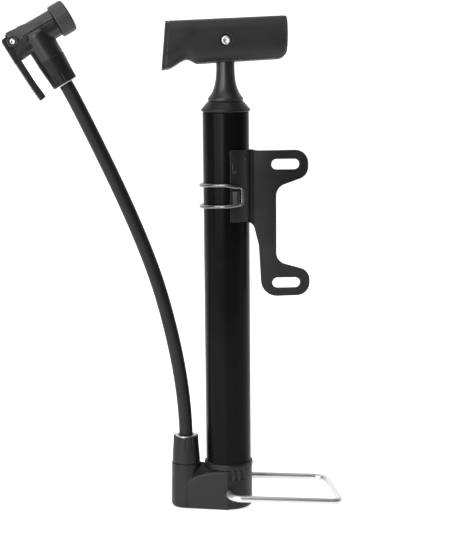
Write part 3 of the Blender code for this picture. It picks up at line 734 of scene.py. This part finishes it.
def make_neck(material):
    neck = lathe(
        "neck_shell",
        [
            (3.0, 223.38), (9.1, 223.38), (9.45, 223.7), (9.45, 224.9), (9.15, 225.3), (8.35, 226.2),
            (7.65, 227.2), (7.05, 228.3), (6.5, 229.6), (5.98, 231.2), (5.55, 233.0), (5.2, 235.2),
            (4.98, 237.6), (4.88, 240.0), (4.88, 244.0), (4.4, 244.6), (4.4, 262.0), (3.0, 262.0),
        ],
        None, 128, 0.3,
    )
    return finished(neck, "handle", material, "black_plastic", "handle_neck")


def make_pin(name, place, half, head_r, shank_r, body, material, slot, node):
    """A riveted cross pin: each end is rolled over, with a dimple in the middle."""
    z = half
    end = [
        (shank_r, z - 0.9), (head_r, z - 0.9), (head_r, z - 0.45), (head_r - 0.35, z - 0.1),
        (head_r * 0.62, z), (head_r * 0.45, z - 0.12), (head_r * 0.28, z - 0.3), (0, z - 0.34),
    ]
    other = [(r, -h) for r, h in reversed(end)]
    pin = lathe(name, [*other, *end], place, 48, 0.12)
    return finished(pin, body, material, slot, node)


def make_rod(material):
    rod = lathe(
        "rod_skin",
        [(0, 32.6), (1.9, 32.6), (1.9, 45.2), (2.8, 45.2), (2.8, 253.0), (0, 253.0)],
        None, 64, 0.15,
    )
    return finished(rod, "handle", material, "satin_aluminium", "piston_rod")


# ---------------------------------------------------------------- foot rest

def make_foot_rest(material):
    near, far, width, inner = 60.4, 57.6, 21.5, 9.0
    path = rounded_path(
        [(0, -inner, 0), (0, -width, 0), (near, -width, 0), (far, width, 0), (0, width, 0), (0, inner, 0)],
        [6.5, 4.2, 7.6, 6.5],
    )
    droop = Matrix.Rotation(math.radians(3.2), 3, "Y")
    pivot = Vector((FOOT_PIVOT[0], 0, FOOT_PIVOT[1]))
    wire = tube("foot_wire", [pivot + droop @ p for p in path], 1.82, 10)
    return finished(wire, "foot_rest", material, "bright_wire", "foot_rest")


# ---------------------------------------------------------------- bracket

PLATE = 1.5
CRADLE_R = 12.4 + 0.5 + PLATE / 2


def plan_line():
    """The sheet's middle line seen from above: a cradle round the barrel, a bend, and a plate whose
    first part leans a few degrees."""
    points = []
    start, leave, steps, bend_r = -84.5, -30, 28, 3.0
    for k in range(steps + 1):
        angle = math.radians(start + (leave - start) * k / steps)
        points.append(Vector((CRADLE_R * math.cos(angle), CRADLE_R * math.sin(angle))))
    heading = math.radians(leave + 90)
    centre = points[-1] + bend_r * Vector((math.sin(heading), -math.cos(heading)))
    lean = math.radians(7.0)
    for k in range(1, 13):
        angle = heading - (heading + lean) * k / 12
        points.append(centre + bend_r * Vector((-math.sin(angle), math.cos(angle))))
    first, steps = points[-1].copy(), 26
    for k in range(steps):
        angle = -lean * (1 - ease((k + 0.5) / steps * 2.0))
        points.append(points[-1] + Vector((1.0, math.tan(angle))) * (46 - first.x) / steps)
    return points


def sheet_outline(line):
    left, right = [], []
    for i, here in enumerate(line):
        way = (line[min(i + 1, len(line) - 1)] - line[max(i - 1, 0)]).normalized()
        side = Vector((-way.y, way.x)) * PLATE / 2
        left.append(tuple(here + side))
        right.append(tuple(here - side))
    return left + right[::-1]


def slot_tool(name, x, z):
    points = []
    for side in (1, -1):
        for k in range(17):
            angle = math.radians(-90 * side + 180 * k / 16)
            points.append((x + side * 4.7 + 2.8 * math.cos(angle), z + 2.8 * math.sin(angle)))
    return slab(name, points, -20, 4)


def make_bracket(material):
    sheet = slab("bracket_sheet", sheet_outline(plan_line()), 117, 199, along="Z")
    shape = rounded(
        [
            (1.4, 198.0, 0.6), (13.0, 198.0, 2.0), (16.0, 197.3, 4.0), (43.5, 197.5, 6.9),
            (43.4, 183.6, 6.6), (26.3, 177.6, 6.5), (26.3, 137.4, 6.5), (44.3, 132.2, 6.4),
            (44.2, 118.9, 6.9), (30.5, 118.7, 12.0), (18.4, 118.4, 8.6), (17.0, 146.0, 16.0),
            (14.0, 158.6, 6.0), (8.6, 160.1, 3.0), (1.4, 160.1, 0.6),
        ]
    )
    shaped(sheet, "INTERSECT", slab("bracket_shape", shape, -22, 4))
    shaped(sheet, "DIFFERENCE", slot_tool("slot_a", 31.2, 189.9), slot_tool("slot_b", 31.6, 125.9))
    bevelled(sheet, 0.28, 3, 40)
    return finished(sheet, "pump_body", material, "black_paint", "frame_bracket")


def cradle_spot(angle, z, out=0.0):
    r = CRADLE_R + PLATE / 2 + out
    a = math.radians(angle)
    return Vector((r * math.cos(a), r * math.sin(a), z))


def curved_patch(name, angles, heights, thickness, lift=0.0, bend=None, sink=0.6):
    """A small plate that lies on the cradle, between two angles and two heights."""
    bm = bmesh.new()
    across = 14
    outer, inner = [], []
    for k in range(across + 1):
        share = k / across
        angle = angles[0] + (angles[1] - angles[0]) * share
        extra = bend(share) if bend else 0.0
        outer.append([bm.verts.new(cradle_spot(angle, z, lift + thickness + extra)) for z in heights])
        inner.append([bm.verts.new(cradle_spot(angle, z, lift - sink + extra)) for z in heights])
    for k in range(across):
        for i in range(len(heights) - 1):
            bm.faces.new((outer[k][i], outer[k][i + 1], outer[k + 1][i + 1], outer[k + 1][i]))
            bm.faces.new((inner[k][i], inner[k][i + 1], inner[k + 1][i + 1], inner[k + 1][i]))
        for i in (0, len(heights) - 1):
            bm.faces.new((outer[k][i], outer[k + 1][i], inner[k + 1][i], inner[k][i]))
    for k in (0, across):
        for i in range(len(heights) - 1):
            bm.faces.new((outer[k][i], outer[k][i + 1], inner[k][i + 1], inner[k][i]))
    return place_of(name, bm)


def make_catch(material):
    """The tongue, struck from the sheet, that the wire clip snaps behind, and two raised marks."""
    def arch(share):
        return 1.5 * ease(share / 0.55) - 0.5 * ease((share - 0.6) / 0.4)

    catch = curved_patch("bracket_catch", (-80, -65), (169.9, 173.4, 176.6), 0.5, bend=arch, sink=0.9)
    bevelled(catch, 0.22, 2, 35)
    finished(catch, "pump_body", material, "black_paint")
    for name, angles, heights in (
        ("emboss_upper", (-80, -71), (186.0, 188.6, 191.2)),
        ("emboss_dot", (-53, -48), (193.0, 193.9, 194.8)),
    ):
        dent = curved_patch(name, angles, heights, 0.38)
        bevelled(dent, 0.2, 2, 30)
        finished(dent, "pump_body", material, "black_paint")


def clip_radius(angle):
    """How far the wire's middle is from the barrel's axis, as it climbs on to the sheet."""
    on_barrel, on_sheet = 12.4 + 1.0 + 0.35, CRADLE_R + PLATE / 2 + 1.0 + 0.15
    return on_barrel + (on_sheet - on_barrel) * ease((angle - 195) / 72)


def clip_run(z, pull):
    """One run, which rises a little round the barrel's side and is pulled by its closed end."""
    run = [Vector((17.3, -1.4, z))]
    for angle in range(24, 301, 4):
        r = clip_radius(angle)
        a = math.radians(angle)
        rise = 0.4 + 1.3 * ease((angle - 170) / 90) + pull * ease((angle - 262) / 38)
        run.append(Vector((r * math.cos(a), r * math.sin(a), z + rise)))
    return run


def make_clip(material):
    upper, lower = clip_run(178.05, -1.5), clip_run(166.75, 0.9)
    start = rounded_path([(17.3, -1.4, 173.4), upper[0], upper[1]], [2.4], 8)[:-1]
    finish = rounded_path([lower[1], lower[0], (17.3, -1.4, 171.4)], [2.4], 8)[1:]
    across = rounded_path([upper[-2], upper[-1], lower[-1], lower[-2]], [1.6, 1.6], 8)[1:-1]
    path = start + upper[1:-1] + across + lower[-2:0:-1] + finish
    wire = tube("clip_wire", path, 0.98, 6)
    return finished(wire, "pump_body", material, "dark_steel", "bracket_clip")


def make_knuckle(material):
    knuckle = slab("clip_knuckle", rounded(
        [(15.4, -4.7, 0), (19.4, -4.7, 0), (19.4, 0.7, 2.0), (15.2, 0.7, 2.0)]), 169.2, 175.6, along="Z")
    shaped(knuckle, "DIFFERENCE", bar("knuckle_bore", 1.25, (17.3, -1.4, 160), (17.3, -1.4, 185)))
    bevelled(knuckle, 0.25, 2, 40)
    return finished(knuckle, "pump_body", material, "black_paint")


# ---------------------------------------------------------------- chuck

def chuck_body_tool():
    """The chuck's barrel: nearly square at its rear, where the lever's ears are, and round in front."""
    stations = []
    for k in range(25):
        share = k / 24
        x = -13.9 + 26.0 * share
        flare = max(0.0, (-2.0 - x) / 11.9)
        round_off = max(0.0, 1 - (x + 13.9) / 1.2) * 0.5
        top = 7.4 + 1.45 * flare ** 0.8 - round_off
        foot = 7.4 + 0.9 * flare ** 1.5 - round_off
        wide = 7.1 - 0.85 * ease((4.0 - x) / 12)
        power = 2.25 + 2.2 * ease((6.0 - x) / 14)
        stations.append((x, top, foot, wide, power))
    count = 64
    bm = bmesh.new()
    rings = []
    for x, top, foot, wide, power in stations:
        ring = []
        for k in range(count):
            angle = 2 * math.pi * k / count
            c, s = math.cos(angle), math.sin(angle)
            reach = top if s > 0 else foot
            y = math.copysign(abs(c) ** (2 / power), c) * wide
            z = math.copysign(abs(s) ** (2 / power), s) * reach
            ring.append(bm.verts.new((x, y, z)))
        rings.append(ring)
    for a, b in zip(rings, rings[1:]):
        for k in range(count):
            bm.faces.new((a[k], a[(k + 1) % count], b[(k + 1) % count], b[k]))
    bm.faces.new(rings[0])
    bm.faces.new(rings[-1])
    made = place_of("chuck_shell", bm)
    made.matrix_world = CHUCK
    return made


def cap_ribs(angle, r, z):
    """Fine ribs round the valve cap's grip."""
    if r < 8.5 or not 13.2 < z < 19.0:
        return r
    return r - 0.16 * max(0.0, math.cos(angle * 27)) ** 2


def make_chuck(plastic_black, painted_light_grey, painted_shade_plastic, rubber_black, steel):
    body = chuck_body_tool()
    nose = bar("nose_tool", 6.6, (11, 0, 0), (16.4, 0, 0), CHUCK, 96)
    fitting = lathe(
        "fitting_tool",
        [(0, 0), (8.0, 0), (7.85, 6.0), (7.75, 10.0), (7.66, FITTING_END + 2), (0, FITTING_END + 2)],
        FITTING, 96, 0.0,
    )
    for side, end in ((-1, "front"), (1, "back")):
        turn = Matrix.Rotation(math.radians(-90 * side), 4, "X")
        spot = CHUCK @ Matrix.Translation(Vector((PIN[0], 0, PIN[1])) * MM) @ turn
        outline = [(0, 4.7), (2.9, 4.7), (2.9, 6.9), (2.6, 7.15), (2.3, 7.15), (2.15, 6.5), (0, 6.5)]
        lug = lathe(f"pin_boss_{end}", outline, spot, 48, 0.0)
        smooth(lug, 35.0)
        finished(lug, "pump_body", plastic_black, "black_plastic")
    shaped(body, "UNION", nose, fitting)
    moulded(body, 0.3, 9, 0.5)
    cover = body.copy()
    cover.data = body.data.copy()
    cover.name = "cover_shell"
    bpy.context.collection.objects.link(cover)
    slot = rounded([(-18, -3.4, 0), (-6.2, -3.4, 1.5), (-6.2, 7.0, 0), (-7.4, 14.0, 0), (-18, 14.0, 0)])

    def openings():
        return [
            bar("valve_bore", 5.5, (-5.8, 0, 0), (22, 0, 0), CHUCK, 64),
            slab("lever_slot", slot, -4.6, 4.6, place=CHUCK),
            slab("rear_trim", [(-30, -12), (-13.5, -12), (-13.5, 12), (-30, 12)], -12, 12, place=CHUCK),
        ]

    def block(name, low_x, high_x, low_z, high_z):
        outline = [(low_x, low_z), (high_x, low_z), (high_x, high_z), (low_x, high_z)]
        return slab(name, outline, -12, 12, place=CHUCK)

    seam, back = 2.3, -10.2
    shaped(
        body, "DIFFERENCE", block("cover_room", back - 0.1, 12.3, seam - 0.6, 14),
        block("fitting_trim", -9.5, 9.5, -30, -FITTING_END - 0.18), *openings(),
    )
    shaped(
        cover, "DIFFERENCE", block("below", -20, 30, -30, seam), block("behind", -20, back, -30, 20),
        block("before", 12.1, 30, -30, 20), *openings(),
    )
    shaped(body, "UNION", bar("stub", 5.6, (0, 0, -FITTING_END + 1), (0, 0, -FITTING_END - 8.4), CHUCK))
    core = bar("core_tool", 6.55, (-5.9, 0, 0), (16.3, 0, 0), CHUCK, 96)
    shaped(core, "DIFFERENCE", bar("core_bore", 5.5, (-8, 0, 0), (22, 0, 0), CHUCK, 64))
    smooth(body, 30.0)
    smooth(cover, 30.0)
    smooth(core, 30.0)
    core.name = "chuck_core"
    finished(body, "pump_body", plastic_black, "black_plastic", "chuck_body")
    # the cover gets the lighter grey: painted light on its upward face
    finished(cover, "pump_body", painted_light_grey, "black_plastic", "chuck_cover")
    # the core's darker plastic is painted shade in the seam, the slot and the bore
    finished(core, "pump_body", painted_shade_plastic, "black_plastic")
    cap = lathe(
        "valve_cap_shell",
        [
            (7.5, 12.15), (8.4, 12.15), (8.75, 12.4), (8.8, 12.8), (8.8, 13.1), (8.8, 13.6),
            (8.8, 18.3), (8.78, 19.1), (8.7, 19.5), (8.2, 20.2), (7.6, 20.4), (5.6, 20.4),
            (5.0, 20.1), (4.7, 19.4), (4.7, 17.2), (6.75, 16.9), (6.75, 13.0), (7.5, 12.9),
        ],
        BORE, 216, 0.25, cap_ribs,
    )
    # the valve cap also gets the lighter grey: painted light
    finished(cap, "pump_body", painted_light_grey, "black_plastic", "valve_cap")
    gasket = lathe(
        "gasket_skin",
        [
            (4.1, 9.0), (5.2, 9.0), (5.2, 16.8), (4.3, 16.8), (4.1, 16.4), (4.3, 15.6), (4.1, 14.8),
            (4.3, 14.0), (4.1, 13.2),
        ],
        BORE, 64, 0.2,
    )
    finished(gasket, "pump_body", rubber_black, "black_rubber", "valve_gasket")
    pin_place = CHUCK @ Matrix.Translation((PIN[0] * MM, 0, PIN[1] * MM)) @ ACROSS
    make_pin("lever_pin_skin", pin_place, 7.15, 1.62, 1.45, "pump_body", steel, "bright_steel", "lever_pin")


def make_lever(material):
    hub = []
    for k in range(72):
        turn = 360 * k / 72
        rise = 2.2 * min(turn, 90) / 90 if turn <= 90 else 2.2 * max(0.0, 1 - (turn - 90) / 30)
        a = math.radians(turn)
        hub.append((PIN[0] + (3.9 + rise) * math.cos(a), PIN[1] + min(5.2, (3.9 + rise) * math.sin(a))))
    lever = slab("lever_shell", hub, -4.3, 4.3, place=CHUCK)
    back, front = PIN[0] - 4.7, PIN[0] - 1.3
    spine_side = rounded([(back, 6.2, 1.2), (front, 6.2, 0.8), (front, -8, 0), (back, -8, 0)])
    spine = slab("spine_tool", spine_side, -4.3, 4.3, place=CHUCK)
    side = rounded(
        [
            (back, -1.0, 0.8), (front, -1.0, 0.8), (front + 0.35, -21.0, 6), (front + 1.25, -30.4, 0.6),
            (front - 2.1, -30.9, 0.6), (back + 0.65, -22.0, 20),
        ]
    )
    paddle = slab("paddle_tool", side, -6.4, 6.4, place=CHUCK)
    shaped(lever, "UNION", spine, paddle)
    grooves = [bar("lever_bore", 1.65, (PIN[0], -9, PIN[1]), (PIN[0], 9, PIN[1]), CHUCK, 32)]
    for k in range(4):
        z = -23.4 - 1.7 * k
        x = back + 0.62 + 0.068 * (1.4 + 1.7 * k)
        grooves.append(bar(f"ridge_{k}", 0.45, (x, -4.8, z), (x, 4.8, z), CHUCK, 16))
    shaped(lever, "DIFFERENCE", *grooves)
    bevelled(lever, 0.35, 3, 40)
    return finished(lever, "lever", material, "black_plastic", "cam_lever")


# ---------------------------------------------------------------- the rest of the CAD nodes

def repaint(looks):
    for names, material in looks:
        for name in names:
            node = bpy.data.objects.get(name)
            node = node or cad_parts[name]
            node.data.materials.clear()
            node.data.materials.append(material)


# ---------------------------------------------------------------- stage

def make_stage():
    depth, wide, back, rise = 0.4, 2.2, 1.1, 0.35
    bm = bmesh.new()
    rows = [(-depth, 0.0), (0.0, 0.0), (back - rise, 0.0)]
    for k in range(1, 13):
        angle = math.radians(90 * k / 12)
        rows.append((back - rise + rise * math.sin(angle), rise - rise * math.cos(angle)))
    rows.append((back, 1.9))
    lines = [[bm.verts.new((x, y, z)) for x in (-wide, wide)] for y, z in rows]
    for a, b in zip(lines, lines[1:]):
        bm.faces.new((a[0], a[1], b[1], b[0]))
    mesh = bpy.data.meshes.new("studio_floor")
    bm.to_mesh(mesh)
    bm.free()
    mesh.shade_smooth()
    floor = bpy.data.objects.new("studio_floor", mesh)
    bpy.context.collection.objects.link(floor)
    m = Nodes("studio_paper")
    m.colour(m.ramp(m.noise(3.0, 3.0), [(0.3, (0.9, 0.9, 0.9)), (0.7, (0.93, 0.93, 0.93))]))
    m.set(Roughness=0.32, Emission_Color=(1, 1, 1, 1), Emission_Strength=0.66)
    mesh.materials.append(m.material)


def area(name, place, target, size, power, colour=(1, 1, 1)):
    light = bpy.data.lights.new(name, "AREA")
    light.shape = "RECTANGLE"
    light.size, light.size_y = size
    light.energy = power
    light.color = colour
    made = bpy.data.objects.new(name, light)
    bpy.context.collection.objects.link(made)
    made.location = place
    made.rotation_euler = (Vector(target) - Vector(place)).to_track_quat("-Z", "Y").to_euler()


def make_light():
    """Soft studio light: a world that is brighter behind the pump, and four soft boxes."""
    world = bpy.data.worlds.new("studio")
    bpy.context.scene.world = world
    world.use_nodes = True
    tree = world.node_tree
    way = tree.nodes.new("ShaderNodeTexCoord").outputs["Generated"]
    split = tree.nodes.new("ShaderNodeSeparateXYZ")
    tree.links.new(way, split.inputs[0])
    ramp = tree.nodes.new("ShaderNodeMapRange")
    ramp.inputs["From Min"].default_value = -0.35
    ramp.inputs["From Max"].default_value = 0.75
    ramp.inputs["To Min"].default_value = 0.03
    ramp.inputs["To Max"].default_value = 0.45
    tree.links.new(split.outputs["Y"], ramp.inputs["Value"])
    # The backdrop itself is pale from every side. What it reflects and lights with is the ramp.
    pale = tree.nodes.new("ShaderNodeMix")
    pale.inputs["B"].default_value = 0.97
    tree.links.new(tree.nodes.new("ShaderNodeLightPath").outputs["Is Camera Ray"], pale.inputs["Factor"])
    tree.links.new(ramp.outputs[0], pale.inputs["A"])
    tree.links.new(pale.outputs["Result"], tree.nodes["Background"].inputs["Strength"])
    tree.nodes["Background"].inputs["Color"].default_value = (1, 1, 1, 1)
    area("key", (-0.62, -0.7, 0.5), (-0.02, 0, 0.17), (0.8, 0.95), 8.0)
    area("strip", (-0.34, -0.85, 0.42), (-0.02, 0, 0.2), (0.14, 0.6), 2.0)
    area("rim", (0.9, 0.3, 0.3), (0, 0, 0.12), (0.25, 0.9), 0.2)
    area("top", (-0.15, -0.1, 0.95), (0, 0, 0.1), (0.7, 0.5), 2.2)
    bpy.context.scene.view_settings.view_transform = "Standard"


# ---------------------------------------------------------------- everything

def main():
    make_camera()
    black = plastic("satin_black_plastic", (0.0115, 0.0115, 0.012), (0.11, 0.11, 0.11), 0.36, 0.5)
    # a copy of the black plastic for the neck and the chuck: more sheen (IOR 1.52) as its own finish, and a
    # lighter base colour, which is painted light standing in for the light that falls on these upper parts
    satin = plastic("satin_upper_plastic_painted_light", (0.014, 0.014, 0.0145), (0.13, 0.13, 0.13), 0.34, 0.46, ior=1.52)
    grip_black = plastic("grip_plastic", (0.0165, 0.0165, 0.017), (0.15, 0.15, 0.15), 0.44, 0.56, ior=1.33)
    # a lighter grey copy of the black plastic for the chuck's cover and valve cap: painted light, standing in
    # for the light that falls on their upward faces
    painted_light_grey = plastic("cover_plastic_painted_light", (0.052, 0.052, 0.053), (0.22, 0.22, 0.22), 0.34, 0.46)
    # a darker copy of the black plastic for the chuck's core, which shows only through the cover seam, the
    # lever slot and the bore: painted shade in these gaps
    painted_shade_core = plastic("inner_plastic_painted_shade", (0.008, 0.008, 0.009), (0.02, 0.02, 0.02), 0.45, 0.6)
    natural = plastic("natural_plastic", (0.72, 0.71, 0.67), (0.8, 0.8, 0.78), 0.35, 0.5)
    tube_black = anodised("black_anodising")
    hose_rubber = rubber("hose_rubber")
    seal_rubber = rubber("seal_rubber", (0.012, 0.012, 0.012))
    paint = powder_coat("black_powder_coat")
    chrome = metal("chrome_wire", (0.7, 0.7, 0.705), 0.27, 0.31, (3000, 3000, 3000), 0.0, 0.97, 0.82)
    steel = metal("turned_steel", (0.92, 0.92, 0.92), 0.34, 0.5)
    spring_steel = metal("spring_steel", (0.22, 0.22, 0.225), 0.2, 0.36, (700, 700, 700), 0.15)
    aluminium = metal("turned_aluminium", (0.66, 0.66, 0.67), 0.32, 0.5, (200, 200, 2600), 0.2)
    yellow = metal("turned_brass", (0.72, 0.52, 0.22), 0.2, 0.38)

    route = hose_route()
    hose = tube("hose_skin", route, 3.72, 8)
    finished(hose, "pump_body", hose_rubber, "black_rubber", "hose")
    ends = make_hose_ends(black, aluminium)
    make_base(black)
    make_barrel(tube_black, black)
    make_grip(grip_black)
    make_neck(satin)
    pin_place = Matrix.Translation(Vector((0, 0, HANDLE_PIN_Z)) * MM) @ ACROSS
    make_pin("handle_pin_skin", pin_place, 10.5, 2.45, 1.45, "handle", steel, "bright_steel", "handle_pin")
    make_rod(aluminium)
    make_foot_rest(chrome)
    make_bracket(paint)
    make_catch(paint)
    make_clip(spring_steel)
    make_knuckle(paint)
    make_chuck(satin, painted_light_grey, painted_shade_core, seal_rubber, steel)
    make_lever(black)
    repaint([
        (("valve_seat", "outlet_barb", "guide_bushing"), yellow),
        (("check_valve_poppet", "piston_head", "thrust_plunger"), natural),
        (("barrel_seal", "piston_ring", "bumper_ring"), seal_rubber),
        (("check_valve_spring", "piston_nut"), steel),
    ])
    make_stage()
    make_light()


main()
